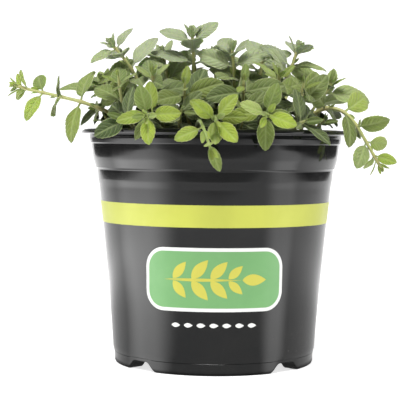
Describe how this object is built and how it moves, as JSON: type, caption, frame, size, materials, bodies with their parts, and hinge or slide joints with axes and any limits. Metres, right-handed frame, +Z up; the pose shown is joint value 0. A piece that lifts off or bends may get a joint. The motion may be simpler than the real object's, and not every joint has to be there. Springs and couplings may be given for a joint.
{
  "type": "potted herb plant",
  "caption": "Young peppermint with opposite leaves and two runners, growing in a round black nursery pot.",
  "frame": {"origin": "centre of the pot's base, on the surface that it stands on", "axes": "+Z up along the pot's axis; the side with the printed panel faces -Y, and the two runners reach out along -X and +X"},
  "size_m": [0.1687, 0.1587, 0.1512],
  "materials": {
    "pot_plastic": "moulded black plastic, semi-gloss, with a printed stripe and panel",
    "potting_mix": "damp crumbly peat and bark",
    "mint": "soft matt leaf, paler along veins and margins, with yellow-green square stems"
  },
  "bodies": {
    "root": {"pot": "pot_plastic", "potting_mix": "potting_mix", "mint_runner_left": "mint", "mint_runner_right": "mint", "mint_front_left": "mint", "mint_front_middle": "mint", "mint_front_low": "mint", "mint_front_right": "mint", "mint_low_left": "mint", "mint_low_right": "mint", "mint_middle_left_outer": "mint", "mint_middle_left": "mint", "mint_middle": "mint", "mint_middle_right": "mint", "mint_middle_right_inner": "mint", "mint_middle_right_outer": "mint", "mint_upper_left": "mint", "mint_upper_right": "mint", "mint_upper_middle": "mint", "mint_upper_middle_right": "mint", "mint_upper_left_inner": "mint", "mint_upper_right_inner": "mint", "mint_shoot_left": "mint", "mint_shoot_right": "mint", "mint_low_middle_left": "mint", "mint_low_middle_right": "mint", "mint_arch_left": "mint", "mint_arch_right": "mint", "mint_back_left_outer": "mint", "mint_back_right_outer": "mint", "mint_back_left": "mint", "mint_back_right": "mint", "mint_back_middle": "mint", "mint_back_middle_left": "mint", "mint_back_middle_right": "mint", "mint_back_trailing": "mint"}
  },
  "joints": []
}
